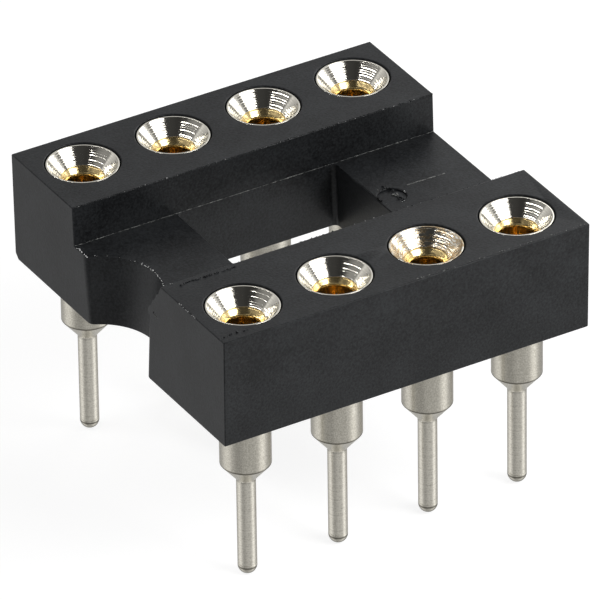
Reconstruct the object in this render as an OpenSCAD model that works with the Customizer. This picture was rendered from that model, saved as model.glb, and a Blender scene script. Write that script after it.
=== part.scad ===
// Eight-contact dual in-line socket with turned contacts and an open frame.
// Two moulded rails, tied by a low bar at each end, each carry a row of turned sleeves.
// A four-fingered spring clip is pressed into every sleeve and grips one lead of the chip.
// X runs along the rows with the notched end at -X, Y runs across the rows, and +Z is up.
// The origin is in the middle of the contact pattern, at the level of the solder tails' roots,
// which is where a board's top face lies.

/* [Contact pattern] */
// Contacts in each row
row_contacts = 4; // [4:1:12]
// Pitch of the contacts along a row
pitch = 2.54; // [2.3:0.02:3.2]
// Distance between the two rows
row_spacing = 7.62; // [6.9:0.02:15.24]

/* [Insulator] */
// Distance from the last contact's axis to the end face
end_margin = 1.27; // [1.15:0.01:1.6]
// Distance from a row's axis to the outer face of its rail
side_margin = 1.27; // [1.15:0.01:1.4]
// Height of the rails
rail_h = 2.92; // [2.4:0.02:3.6]
// Width of each rail at its top
rail_w = 2.98; // [2.6:0.01:3.2]
// Depth of the end bars' tops below the tops of the rails
bar_drop = 1.05; // [0.6:0.01:1.4]
// Length of each end bar along the rows
bar_len = 2.86; // [2:0.02:3.2]
// Draft of the long outer walls in degrees
wall_draft = 0.9; // [0:0.1:2]
// Draft of the end faces in degrees
end_draft = 0.1; // [0:0.1:2]
// Draft of the channel in degrees
core_draft = 2.2; // [0:0.1:3]
// Draft of the window in degrees, which opens towards the foot of the bars
window_draft = 4; // [0:0.5:6]
// Chamfer along the outer bottom edge of the far rail
rail_chamfer = 0.14; // [0.05:0.01:0.25]
// Radius in the corners of the window
window_r = 0.12; // [0.05:0.01:0.3]
// Diameter of the ejector pin's mark on the plain end bar
mark_d = 0.72; // [0.5:0.02:1]
// Depth of the ejector pin's mark
mark_depth = 0.05; // [0.02:0.01:0.08]
// Distance from the edge of the window to the ejector pin's mark
mark_edge = 0.04; // [0.02:0.01:0.2]

/* [Index notch] */
// Radius of the notch at the top of the bar
notch_r = 1.6; // [1:0.02:1.8]
// How far the notch reaches into the end of the bar
notch_depth = 1.05; // [0.6:0.05:1.3]
// Radius where the notch meets the end face
notch_lip_r = 0.2; // [0.08:0.01:0.3]
// Draft of the notch in degrees
notch_draft = 4; // [0:0.5:5]

/* [Turned sleeve] */
// Diameter of the flange
flange_d = 1.8; // [1.64:0.01:1.9]
// Thickness of the flange
flange_h = 0.46; // [0.4:0.01:0.6]
// Depth of the flange's rim below the top of the rail
flange_sink = 0.03; // [0:0.01:0.1]
// Gap all round between the flange and its pocket
pocket_gap = 0.04; // [0.01:0.01:0.06]
// Diameter of the press-fit land under the flange
land_d = 1.38; // [1.32:0.01:1.44]
// Length of the press-fit land
land_len = 1.5; // [0.8:0.02:1.6]
// Diameter of the stem below the land
stem_d = 1.26; // [1.24:0.01:1.3]
// Distance that the stem stands below the insulator
stem_below = 1.48; // [1:0.02:2]
// Height of the cone between the stem and the tail
cone_h = 0.47; // [0.3:0.01:0.6]
// Diameter of the solder tail
tail_d = 0.48; // [0.4:0.01:0.6]
// Length of the solder tail with its round tip
tail_len = 2.7; // [2.2:0.02:3.4]
// Width of the flat ring round the mouth of the funnel
rim_w = 0.04; // [0.02:0.01:0.06]
// Depth of the funnel
funnel_h = 0.36; // [0.25:0.01:0.38]
// Diameter of the bore that holds the clip
bore_d = 1.06; // [1:0.01:1.08]
// Depth of the straight bore below the funnel
bore_h = 2.9; // [2.5:0.02:3]
// Angle of the drilled point at the bottom of the bore
drill_angle = 118; // [90:1:140]

/* [Spring clip] */
// Thickness of the clip's fingers where they leave the collar
clip_t = 0.08; // [0.07:0.005:0.1]
// Thickness of the fingers at their ends, which are coined thinner
tip_t = 0.06; // [0.05:0.005:0.065]
// Height of the clip's collar
collar_h = 0.6; // [0.5:0.02:0.8]
// Inner diameter of the collar below its lead-in
collar_id = 0.78; // [0.7:0.01:0.84]
// Width of the flat ring round the top of the lead-in
collar_rim = 0.02; // [0.01:0.005:0.03]
// Height of the lead-in at the top of the collar
lead_in_h = 0.14; // [0.08:0.01:0.2]
// Depth of the clip's top below the foot of the funnel
clip_sink = 0.02; // [0:0.01:0.05]
// Length over which the fingers close in below the collar
finger_len = 1.15; // [0.9:0.05:1.2]
// Gap between opposite fingers where they grip the lead
finger_gap = 0.36; // [0.3:0.01:0.44]
// Length of the straight stretch that grips the lead
grip_len = 0.3; // [0.2:0.02:0.4]
// Length of the flared finger ends
flare_len = 0.2; // [0.1:0.01:0.25]
// Outward reach of the flared finger ends
flare_out = 0.06; // [0.02:0.01:0.08]
// Width of the slots between the fingers
slot_w = 0.1; // [0.06:0.01:0.16]

/* [Hidden] */
contacts = 2 * row_contacts;
$fn = 64;
cut = 1;             // how far a cutter runs past the faces that it opens
arc_steps = 28;      // steps along the notch's arc
lip_steps = 6;       // steps round each lip of the notch
corner_steps = 4;    // steps round each corner of the window
tip_steps = 12;      // steps round the tip of a tail

// Levels, measured from the roots of the tails
stem_z = cone_h;
seat_z = stem_z + stem_below;
top_z = seat_z + rail_h;
bar_z = top_z - bar_drop;
rim_z = top_z - flange_sink;
flange_z = rim_z - flange_h;
land_z = flange_z - land_len;
funnel_z = rim_z - funnel_h;
bore_z = funnel_z - bore_h;
clip_z = funnel_z - clip_sink;
collar_z = clip_z - collar_h;

// Plan of the insulator
half_len = (row_contacts - 1) * pitch / 2 + end_margin;
half_wid = row_spacing / 2 + side_margin;
channel_y = half_wid - rail_w;
window_x = half_len - bar_len;
wall_in = rail_h * tan(wall_draft);
end_in = rail_h * tan(end_draft);
core_in = bar_drop * tan(core_draft);
bar_h = rail_h - bar_drop;
notch_x = -half_len + notch_depth - notch_r;

// Where contact n stands: 1 to row_contacts along the front row from the notched end,
// then back along the far row
function contact_x(n) =
    let (step = n <= row_contacts ? n - 1 : 2 * row_contacts - n)
    (step - (row_contacts - 1) / 2) * pitch;
function contact_y(n) = (n <= row_contacts ? -1 : 1) * row_spacing / 2;

// Points of an arc about a centre
function arc(centre, r, from, to, steps) =
    [for (i = [0:steps]) let (a = from + (to - from) * i / steps) centre + r * [cos(a), sin(a)]];

// Plan of the notch at a height above the foot of the bar: its arc, and on each side the
// lip that it turns over to meet the leaning end face
function notch_plan(height) =
    let (r = notch_r - (bar_h - height) * tan(notch_draft),
         lip_x = -half_len + (rail_h - height) * tan(end_draft) + notch_lip_r,
         lip_y = sqrt(pow(r + notch_lip_r, 2) - pow(lip_x - notch_x, 2)),
         turn = atan2(lip_y, lip_x - notch_x))
    concat([[-half_len - cut, -lip_y]],
           arc([lip_x, -lip_y], notch_lip_r, 180, 180 - turn, lip_steps),
           arc([notch_x, 0], r, -turn, turn, arc_steps),
           arc([lip_x, lip_y], notch_lip_r, 180 + turn, 180, lip_steps),
           [[-half_len - cut, lip_y]]);

// Plan of the window, with round corners, at a height above the foot of the bar
function window_plan(height) =
    let (outset = (bar_h - height) * tan(window_draft) - window_r,
         x = window_x + outset,
         y = channel_y - core_in + outset)
    concat(arc([x, y], window_r, 0, 90, corner_steps),
           arc([-x, y], window_r, 90, 180, corner_steps),
           arc([-x, -y], window_r, 180, 270, corner_steps),
           arc([x, -y], window_r, 270, 360, corner_steps));

// Solid between two plans that have the same number of points
module loft(low, low_z, high, high_z) {
    n = len(low);
    points = concat([for (p = low) [p.x, p.y, low_z]], [for (p = high) [p.x, p.y, high_z]]);
    sides = [for (i = [0:n - 1]) [i, i + n, (i + 1) % n + n, (i + 1) % n]];
    foot = [for (i = [0:n - 1]) i];
    head = [for (i = [n - 1:-1:0]) i + n];
    polyhedron(points = points, faces = concat([foot], sides, [head]));
}

// Section across the rows: two rails, the far one with a chamfered foot, and the channel between
module section_across() {
    foot_y = half_wid - wall_in;
    polygon([[-foot_y, seat_z], [foot_y - rail_chamfer, seat_z],
             [foot_y, seat_z + rail_chamfer], [half_wid, top_z],
             [channel_y, top_z], [channel_y - core_in, bar_z],
             [-channel_y + core_in, bar_z], [-channel_y, top_z],
             [-half_wid, top_z]]);
}

// Section along the rows: the ends lean in towards the bottom
module section_along() {
    polygon([[-half_len + end_in, seat_z], [half_len - end_in, seat_z],
             [half_len, top_z], [-half_len, top_z]]);
}

// Puts a piece of one contact in its place
module at_contact(n) translate([contact_x(n), contact_y(n), 0]) children();

// Stepped hole in a rail: the flange's pocket, and the hole that grips the land
module sleeve_hole() {
    translate([0, 0, flange_z]) cylinder(d = flange_d + 2 * pocket_gap, h = top_z - flange_z + cut);
    translate([0, 0, seat_z - cut]) cylinder(d = land_d, h = flange_z - seat_z + 2 * cut);
}

// Cutters for the window, wider towards the foot of the bars, and the notch, narrower there
module window() loft(window_plan(-cut), seat_z - cut, window_plan(bar_h + cut), bar_z + cut);
module notch() loft(notch_plan(-cut), seat_z - cut, notch_plan(bar_h + cut), bar_z + cut);

// Shallow round mark that the ejector pin leaves on the plain bar
module ejector_mark() translate([window_x + mark_edge + mark_d / 2, 0, bar_z - mark_depth])
    cylinder(d = mark_d, h = mark_depth + cut);

module housing() {
    color("#2b2c2e") difference() {
        intersection() {
            rotate([90, 0, 90]) linear_extrude(2 * (half_len + cut), center = true) section_across();
            rotate([90, 0, 0]) linear_extrude(2 * (half_wid + cut), center = true) section_along();
        }
        window();
        notch();
        ejector_mark();
        for (n = [1:contacts]) at_contact(n) sleeve_hole();
    }
}

// Turned sleeve: funnel, bore, flange, land, stem, cone, and a tail with a round tip
module sleeve() {
    tail_r = tail_d / 2;
    bore_r = bore_d / 2;
    drill_h = bore_r / tan(drill_angle / 2);
    color("#b9b4ab") rotate_extrude() polygon(concat(
        arc([0, tail_r - tail_len], tail_r, -90, 0, tip_steps),
        [[tail_r, 0], [stem_d / 2, stem_z], [stem_d / 2, land_z],
         [land_d / 2, land_z], [land_d / 2, flange_z], [flange_d / 2, flange_z],
         [flange_d / 2, rim_z], [flange_d / 2 - rim_w, rim_z],
         [bore_r, funnel_z], [bore_r, bore_z], [0, bore_z - drill_h]]));
}

// Spring clip: a thick collar with a lead-in, and four fingers that close in, grip and flare out
module clip() {
    collar_r = bore_d / 2;
    throat_r = collar_id / 2;
    grip_r = finger_gap / 2;
    grip_z = collar_z - finger_len;
    flare_z = grip_z - grip_len;
    end_z = flare_z - flare_len;
    color("#d8a63c") difference() {
        rotate_extrude() polygon([
            [throat_r, collar_z], [grip_r, grip_z], [grip_r, flare_z],
            [grip_r + flare_out, end_z], [grip_r + flare_out + tip_t, end_z],
            [grip_r + tip_t, flare_z], [grip_r + clip_t, grip_z],
            [throat_r + clip_t, collar_z], [collar_r, collar_z], [collar_r, clip_z],
            [collar_r - collar_rim, clip_z], [throat_r, clip_z - lead_in_h]]);
        for (turn = [0, 90]) rotate(turn)
            translate([-collar_r - cut, -slot_w / 2, end_z - cut])
                cube([2 * (collar_r + cut), slot_w, collar_z - end_z + cut]);
    }
}

housing();
for (n = [1:contacts]) {
    at_contact(n) sleeve();
    at_contact(n) clip();
}
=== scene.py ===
"""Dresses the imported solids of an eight-contact dual in-line socket for its picture.

The socket is a black moulded insulator with two rails, eight turned and tin-plated sleeves,
and eight gold-plated spring clips. Sizes in the classes are in millimetres, as in the part's
source, and scaled() turns them to the frame's metres where a mesh is made.
"""

from __future__ import annotations

import logging
import math
from dataclasses import dataclass, field
from enum import Enum
from typing import Any, Iterable, Sequence

import bmesh
import bpy
from mathutils import Matrix, Vector

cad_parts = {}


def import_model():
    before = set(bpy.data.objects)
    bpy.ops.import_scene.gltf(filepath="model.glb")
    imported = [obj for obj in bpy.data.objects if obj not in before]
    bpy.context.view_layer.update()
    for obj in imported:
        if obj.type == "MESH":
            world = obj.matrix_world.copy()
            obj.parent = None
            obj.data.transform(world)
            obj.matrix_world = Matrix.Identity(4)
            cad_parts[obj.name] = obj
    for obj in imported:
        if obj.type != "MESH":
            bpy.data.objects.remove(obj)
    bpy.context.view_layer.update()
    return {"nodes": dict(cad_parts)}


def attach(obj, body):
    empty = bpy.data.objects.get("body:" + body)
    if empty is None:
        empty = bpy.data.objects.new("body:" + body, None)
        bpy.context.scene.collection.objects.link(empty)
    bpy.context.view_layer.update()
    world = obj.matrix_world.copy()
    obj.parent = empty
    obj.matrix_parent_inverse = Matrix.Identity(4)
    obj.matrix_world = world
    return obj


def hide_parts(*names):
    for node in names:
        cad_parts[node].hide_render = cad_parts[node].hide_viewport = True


LOG = logging.getLogger("socket")
MM = 0.001                      # one millimetre in the frame's metres
WELD = 0.0004                   # points closer than this, in mm, are one point
Socket = bpy.types.NodeSocket
Point = tuple[float, float, float]
Outline = list[tuple[float, float]]
Trail = Sequence[Point]


# Shared helpers

def scaled(point: Iterable[float]) -> Vector:
    """Turns a point in millimetres to the frame's metres."""
    return Vector(tuple(c * MM for c in point))


def colour(code: str) -> tuple[float, float, float, float]:
    """Turns an sRGB hex colour to linear light.

    Args:
        code: Colour as "#rrggbb".

    Returns:
        Linear red, green and blue, and an alpha of 1.
    """
    parts = [int(code[i:i + 2], 16) / 255 for i in (1, 3, 5)]
    linear = [c / 12.92 if c <= 0.04045 else ((c + 0.055) / 1.055) ** 2.4 for c in parts]
    return (linear[0], linear[1], linear[2], 1.0)


def add(tree: bpy.types.NodeTree, kind: str, settings: dict[str, Any] | None = None,
        sockets: dict[str | int, Any] | None = None) -> bpy.types.Node:
    """Adds a node with its settings, and sets or links its inputs.

    Args:
        tree: Shader or geometry tree that takes the node.
        kind: Blender's name for the kind of node.
        settings: Properties of the node itself.
        sockets: For each input, by its name or its place, a value, an output to link, or a
            node whose first output is linked.

    Returns:
        The new node.
    """
    node = tree.nodes.new(kind)
    for name, value in (settings or {}).items():
        setattr(node, name, value)
    for key, value in (sockets or {}).items():
        target = node.inputs[key]
        if isinstance(value, bpy.types.Node):
            value = value.outputs[0]
        if isinstance(value, Socket):
            tree.links.new(value, target)
        else:
            target.default_value = value
    return node


def sizes_tree(name: str, **inputs: str) -> tuple[bpy.types.NodeTree, bpy.types.NodeOutputs]:
    """Starts a geometry tree with one geometry in, one out, and named sizes.

    Args:
        name: Name of the tree.
        inputs: Kind of each size; grow() sets them all.

    Returns:
        The tree, and its geometry and sizes to link from.
    """
    tree = bpy.data.node_groups.new(name, "GeometryNodeTree")
    tree.interface.new_socket("Geometry", in_out="INPUT", socket_type="NodeSocketGeometry")
    tree.interface.new_socket("Geometry", in_out="OUTPUT", socket_type="NodeSocketGeometry")
    for label, kind in inputs.items():
        tree.interface.new_socket(label, in_out="INPUT", socket_type="NodeSocket" + kind)
    return tree, tree.nodes.new("NodeGroupInput").outputs


def close_tree(tree: bpy.types.NodeTree, geometry: bpy.types.Node, material: Socket) -> bpy.types.NodeTree:
    """Ends a geometry tree in Realize Instances and Set Material.

    Args:
        tree: Tree to end.
        geometry: Node that gives the finished shape.
        material: Input that holds the finish.

    Returns:
        The same tree.
    """
    real = add(tree, "GeometryNodeRealizeInstances", sockets={0: geometry})
    dressed = add(tree, "GeometryNodeSetMaterial", sockets={"Geometry": real, "Material": material})
    add(tree, "NodeGroupOutput", sockets={0: dressed})
    return tree


def put(name: str, data: bpy.types.ID) -> bpy.types.Object:
    """Puts a mesh, a lamp or a camera in the scene.

    Args:
        name: Name of the object.
        data: Its mesh, lamp or camera.

    Returns:
        The new object.
    """
    made = bpy.data.objects.new(name, data)
    bpy.context.scene.collection.objects.link(made)
    return made


def applied(carrier: bpy.types.Object) -> bpy.types.Mesh:
    """Applies an object's modifiers.

    Args:
        carrier: Object with the modifiers; it and its own mesh are used up.

    Returns:
        The mesh that they make.
    """
    graph = bpy.context.evaluated_depsgraph_get()
    result = bpy.data.meshes.new_from_object(carrier.evaluated_get(graph), depsgraph=graph)
    source = carrier.data
    bpy.data.objects.remove(carrier)
    bpy.data.meshes.remove(source)
    return result


def mesh_of(bm: bmesh.types.BMesh, name: str, *finishes: bpy.types.Material) -> bpy.types.Mesh:
    """Turns working geometry to a mesh.

    Args:
        bm: Geometry in metres; it is freed.
        name: Name of the mesh.
        finishes: Materials of the mesh.

    Returns:
        The mesh.
    """
    mesh = bpy.data.meshes.new(name)
    bm.to_mesh(mesh)
    bm.free()
    for finish in finishes:
        mesh.materials.append(finish)
    return mesh


def grow(tree: bpy.types.NodeTree, source: bpy.types.Mesh, sizes: dict[str, Any]) -> bpy.types.Mesh:
    """Runs a geometry tree on a mesh and keeps the result as a plain mesh.

    Args:
        tree: Geometry tree with named inputs.
        source: Mesh that goes in; it is used up.
        sizes: Value for each named input.

    Returns:
        The result, with doubles merged and faces turned outwards.
    """
    carrier = put("carrier", source)
    modifier = carrier.modifiers.new("Nodes", "NODES")
    modifier.node_group = tree
    for item in tree.interface.items_tree:
        if item.item_type == "SOCKET" and item.in_out == "INPUT" and item.name in sizes:
            modifier[item.identifier] = sizes[item.name]
    result = applied(carrier)
    bm = bmesh.new()
    bm.from_mesh(result)
    bmesh.ops.remove_doubles(bm, verts=bm.verts, dist=WELD * MM)
    bmesh.ops.recalc_face_normals(bm, faces=bm.faces)
    bm.to_mesh(result)
    bm.free()
    return result


def path_mesh(points: Trail, closed: bool = False) -> bpy.types.Mesh:
    """Makes a mesh of edges along points in millimetres.

    Args:
        points: Points of the path, in order.
        closed: Whether the last point joins the first.

    Returns:
        The mesh, in metres.
    """
    count = len(points)
    mesh = bpy.data.meshes.new("path")
    edges = [(i, (i + 1) % count) for i in range(count if closed else count - 1)]
    mesh.from_pydata([scaled(p) for p in points], edges, [])
    return mesh


def piece(name: str, mesh: bpy.types.Mesh, slot: str, *nodes: str) -> bpy.types.Object:
    """Puts a finished mesh in the scene as a piece of the object.

    Args:
        name: Name of the piece.
        mesh: Its mesh, in place.
        slot: Not used.
        nodes: CAD nodes that it stands for.

    Returns:
        The piece's object.
    """
    mesh.name = name
    made = put(name, mesh)
    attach(made, "root")
    if nodes:
        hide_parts(*nodes)
    LOG.info("%s: %d faces", name, len(mesh.polygons))
    return made


def joined(meshes: Sequence[bpy.types.Mesh], finish: bpy.types.Material) -> bpy.types.Mesh:
    """Joins meshes into one with one finish.

    Args:
        meshes: Meshes to join; they are used up, and may be empty.
        finish: Material of the whole.

    Returns:
        One mesh.
    """
    bm = bmesh.new()
    for mesh in meshes:
        bm.from_mesh(mesh)
    for face in bm.faces:
        face.material_index = 0
    result = mesh_of(bm, "joined", finish)
    for mesh in meshes:
        bpy.data.meshes.remove(mesh)
    return result


def smooth(mesh: bpy.types.Mesh, sharp: float = 40.0) -> bpy.types.Mesh:
    """Shades a mesh smooth, apart from its sharp edges.

    Args:
        mesh: Mesh to shade.
        sharp: Degrees from which an edge is sharp.

    Returns:
        The same mesh.
    """
    mesh.polygons.foreach_set("use_smooth", [True] * len(mesh.polygons))
    mesh.set_sharp_from_angle(angle=math.radians(sharp))
    return mesh


# Finishes

@dataclass(frozen=True)
class Finish:
    """A finish with a name, from which one material is made."""

    name: str

    def start(self) -> tuple[bpy.types.NodeTree, Socket, bpy.types.Material]:
        """Starts the material with its coordinates.

        Returns:
            The node tree, its object coordinates, and the material.
        """
        made = bpy.data.materials.new(self.name)
        made.use_nodes = True
        made.node_tree.nodes.clear()
        place = add(made.node_tree, "ShaderNodeTexCoord").outputs["Object"]
        return made.node_tree, place, made

    def end(self, tree: bpy.types.NodeTree, sockets: dict[str | int, Any]) -> None:
        """Ends the material with its shader.

        Args:
            tree: The material's tree.
            sockets: Values and links for the shader.
        """
        shader = add(tree, "ShaderNodeBsdfPrincipled", sockets=sockets)
        add(tree, "ShaderNodeOutputMaterial", sockets={0: shader})


@dataclass(frozen=True)
class MouldedPolyester(Finish):
    """Glass-filled thermoplastic polyester, as it comes from the mould.

    To the eye it is a matt, slightly cool black with a fine speckle, where fibre ends lie in
    the skin, and faint clouds where the melt flowed.
    """

    dark: str = "#0e0f11"
    light: str = "#2f3133"
    fibre: str = "#55585a"
    grain_mm: float = 0.06
    cloud_mm: float = 1.2
    cloud_share: float = 0.6        # weight of the clouds, where the grain's is 1
    tones: tuple[float, float] = (0.60, 1.03)       # their sum where the skin is dark, and light
    fibre_mm: float = 0.26          # coarser than real fibres, so that they show
    fibre_lays: tuple[tuple[Point, float], ...] = (     # turns in radians, and length to width
        ((0.15, 0.2, 0.5), 7.0), ((0.63, 0.2, 2.1), 6.0))
    fibre_half: tuple[float, float] = (0.16, 0.05)      # where it ends, and is strongest, as parts of a cell
    fibre_share: tuple[float, float] = (0.80, 0.97)     # a cell's draw where its fibre begins, and is full
    fibre_strength: float = 0.5
    rough: float = 0.40
    rough_spread: float = 0.07
    relief_mm: float = 0.004
    index: float = 1.33

    def material(self) -> bpy.types.Material:
        """Builds the material.

        Returns:
            The finish, ready for a mesh.
        """
        tree, place, made = self.start()
        grain, cloud = (add(tree, "ShaderNodeTexNoise", sockets={
            "Vector": place, "Scale": 1 / (size * MM), "Detail": detail, "Roughness": 0.6})
            for size, detail in ((self.grain_mm, 3.0), (self.cloud_mm, 4.0)))
        mixed = add(tree, "ShaderNodeMath", {"operation": "MULTIPLY_ADD"}, {
            0: cloud, 1: self.cloud_share, 2: grain})
        shade = add(tree, "ShaderNodeMapRange", sockets={
            0: mixed, "From Min": self.tones[0], "From Max": self.tones[1]})
        skin = add(tree, "ShaderNodeMix", {"data_type": "RGBA"}, {
            0: shade, 6: colour(self.dark), 7: colour(self.light)}).outputs[2]
        for turn, stretch in self.fibre_lays:
            laid = add(tree, "ShaderNodeMapping", sockets={
                "Vector": place, "Rotation": turn, "Scale": (1.0, stretch, stretch)})
            cells = add(tree, "ShaderNodeTexVoronoi", {"feature": "F1"}, {
                "Vector": laid, "Scale": 1 / (self.fibre_mm * MM)})
            near = add(tree, "ShaderNodeMapRange", sockets={
                0: cells.outputs["Distance"], "From Min": self.fibre_half[0], "From Max": self.fibre_half[1]})
            some = add(tree, "ShaderNodeSeparateColor", sockets={0: cells.outputs["Color"]})
            rare = add(tree, "ShaderNodeMapRange", sockets={
                0: some, "From Min": self.fibre_share[0], "From Max": self.fibre_share[1],
                "To Max": self.fibre_strength})
            streak = add(tree, "ShaderNodeMath", {"operation": "MULTIPLY"}, {0: near, 1: rare})
            skin = add(tree, "ShaderNodeMix", {"data_type": "RGBA"}, {
                0: streak, 6: skin, 7: colour(self.fibre)}).outputs[2]
        rough = add(tree, "ShaderNodeMapRange", sockets={
            0: grain, "To Min": self.rough - self.rough_spread, "To Max": self.rough + self.rough_spread})
        relief = add(tree, "ShaderNodeBump", sockets={
            "Height": mixed, "Distance": self.relief_mm * MM, "Strength": 1.0})
        self.end(tree, {"Base Color": skin, "Roughness": rough, "Normal": relief, "IOR": self.index})
        return made


@dataclass(frozen=True)
class TornPolyester(Finish):
    """The same polyester where it is torn: flash, nicks and scratches.

    To the eye it is pale grey, because bare fibre ends scatter the light.
    """

    shade: str = "#5f6160"
    pale: str = "#b9b9b3"
    grain_mm: float = 0.06
    tones: tuple[float, float] = (0.35, 0.65)       # the grain where the plastic is dark, and pale
    rough: float = 0.8
    index: float = 1.5

    def material(self) -> bpy.types.Material:
        """Builds the material.

        Returns:
            The finish, ready for a mesh.
        """
        tree, place, made = self.start()
        grain = add(tree, "ShaderNodeTexNoise", sockets={
            "Vector": place, "Scale": 1 / (self.grain_mm * MM), "Detail": 2.0})
        patch = add(tree, "ShaderNodeMapRange", sockets={
            0: grain, "From Min": self.tones[0], "From Max": self.tones[1]})
        skin = add(tree, "ShaderNodeMix", {"data_type": "RGBA"}, {
            0: patch, 6: colour(self.shade), 7: colour(self.pale)}).outputs[2]
        self.end(tree, {"Base Color": skin, "Roughness": self.rough, "IOR": self.index})
        return made


@dataclass(frozen=True)
class TinPlate(Finish):
    """Tin plated over turned brass.

    To the eye it is a warm satin grey with a fine mottle, faint rings from the lathe on the
    tail, and it is polished bright inside the funnel, above polish_z. A scuffed one shows the
    tool's gold-coloured smears, in arcs round the funnel. Bands that are darker by height are
    painted shade and painted dark reflection, at the stem's foot and the tail's root and tip.
    """

    body: str = "#dcd8cd"
    ring: str = "#b4b0a4"
    smear: str = "#a8843f"
    # colour of the painted shade and painted dark reflection in the bands by height
    painted_dark: str = "#4d493f"
    grain_mm: float = 0.035
    ring_mm: float = 0.05
    tones: tuple[float, float] = (0.85, 0.4)        # grain and rings where the plate is light, and dark
    # dark bands painted in by height: painted dark reflection along the stem's foot and above the tip's round,
    # painted shade over the tail's root and the tip's underside
    painted_dark_bands: tuple[tuple[float, float, float], ...] = (    # height and half width of dark lines, and strength
        (0.475, 0.045, 0.9), (-0.03, 0.05, 0.22), (-2.475, 0.045, 0.9), (-2.68, 0.26, 0.85))
    stem_rings: float = 0.12    # strength of the rings on the stem
    tail_rings: float = 0.5     # and on the tail, below the cone
    cone_z: float = 0.2         # height over which the one passes into the other
    rough: float = 0.31
    polish: float = 0.11        # roughness inside the funnel
    polish_grain: float = 0.3   # share of the grain's relief that the polish leaves
    polish_z: float = 4.44
    polish_edge: float = 0.02   # height over which the polish begins
    relief_mm: float = 0.0010
    scuff: float = 0.0          # strength of the smears
    scuff_mm: float = 0.3
    scuff_squeeze: Point = (1.0, 1.0, 5.0)  # of the noise in height, so that the smears run round
    scuff_level: float = 0.52   # level of the noise that the smears follow
    scuff_half: tuple[float, float] = (0.09, 0.015)     # how far from it they end, and are strongest
    scuff_rough: float = 0.2
    scuff_relief_mm: float = 0.012

    def material(self) -> bpy.types.Material:
        """Builds the material.

        Returns:
            The finish, ready for a mesh.
        """
        tree, place, made = self.start()
        height = add(tree, "ShaderNodeSeparateXYZ", sockets={0: place}).outputs[2]
        rings = add(tree, "ShaderNodeTexNoise", {"noise_dimensions": "1D"}, {
            "W": height, "Scale": 1 / (self.ring_mm * MM), "Detail": 2.0})
        ringed = add(tree, "ShaderNodeMapRange", sockets={
            0: height, "From Max": self.cone_z * MM, "To Min": self.tail_rings, "To Max": self.stem_rings})
        cut = add(tree, "ShaderNodeMath", {"operation": "MULTIPLY"}, {0: rings, 1: ringed})
        grain = add(tree, "ShaderNodeTexNoise", sockets={
            "Vector": place, "Scale": 1 / (self.grain_mm * MM), "Detail": 2.0})
        inside = add(tree, "ShaderNodeMapRange", sockets={
            0: height, "From Min": self.polish_z * MM,
            "From Max": (self.polish_z + self.polish_edge) * MM})
        calm = add(tree, "ShaderNodeMapRange", sockets={
            0: inside, "To Min": 1.0, "To Max": self.polish_grain})
        marks = add(tree, "ShaderNodeMath", {"operation": "MULTIPLY_ADD"}, {0: grain, 1: calm, 2: cut})
        shade = add(tree, "ShaderNodeMapRange", sockets={
            0: marks, "From Min": self.tones[0], "From Max": self.tones[1]})
        outside = add(tree, "ShaderNodeMath", {"operation": "SUBTRACT"}, {0: 1.0, 1: inside})
        amount = add(tree, "ShaderNodeMath", {"operation": "MULTIPLY"}, {0: shade, 1: outside})
        skin = add(tree, "ShaderNodeMix", {"data_type": "RGBA"}, {
            0: amount, 6: colour(self.body), 7: colour(self.ring)}).outputs[2]
        # paints the dark bands by height: painted shade and painted dark reflection
        for level, half, strength in self.painted_dark_bands:
            off = add(tree, "ShaderNodeMath", {"operation": "SUBTRACT"}, {0: height, 1: level * MM})
            gap = add(tree, "ShaderNodeMath", {"operation": "ABSOLUTE"}, {0: off})
            line = add(tree, "ShaderNodeMapRange", {"interpolation_type": "SMOOTHSTEP"}, {
                0: gap, "From Min": half * MM, "From Max": 0.0, "To Max": strength})
            skin = add(tree, "ShaderNodeMix", {"data_type": "RGBA"}, {
                0: line, 6: skin, 7: colour(self.painted_dark)}).outputs[2]
        rough = add(tree, "ShaderNodeMapRange", sockets={
            0: inside, "To Min": self.rough, "To Max": self.polish})
        if self.scuff:
            arcs = add(tree, "ShaderNodeMapping", sockets={"Vector": place, "Scale": self.scuff_squeeze})
            patches = add(tree, "ShaderNodeTexNoise", sockets={
                "Vector": arcs, "Scale": 1 / (self.scuff_mm * MM), "Detail": 5.0, "Distortion": 0.4})
            ridge = add(tree, "ShaderNodeMath", {"operation": "SUBTRACT"}, {
                0: patches, 1: self.scuff_level})
            off_ridge = add(tree, "ShaderNodeMath", {"operation": "ABSOLUTE"}, {0: ridge})
            worn = add(tree, "ShaderNodeMapRange", sockets={
                0: off_ridge, "From Min": self.scuff_half[0], "From Max": self.scuff_half[1],
                "To Max": self.scuff})
            here = add(tree, "ShaderNodeMath", {"operation": "MULTIPLY"}, {0: worn, 1: inside})
            dent = add(tree, "ShaderNodeMath", {"operation": "MULTIPLY"}, {0: patches, 1: inside})
            marks = add(tree, "ShaderNodeMath", {"operation": "MULTIPLY_ADD"}, {
                0: dent, 1: self.scuff_relief_mm / self.relief_mm, 2: marks})
            skin = add(tree, "ShaderNodeMix", {"data_type": "RGBA"}, {
                0: here, 6: skin, 7: colour(self.smear)}).outputs[2]
            rough = add(tree, "ShaderNodeMath", {"operation": "MULTIPLY_ADD"}, {
                0: here, 1: self.scuff_rough, 2: rough})
        relief = add(tree, "ShaderNodeBump", sockets={
            "Height": marks, "Distance": self.relief_mm * MM, "Strength": 1.0})
        self.end(tree, {"Base Color": skin, "Metallic": 1.0, "Roughness": rough, "Normal": relief})
        return made


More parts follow.
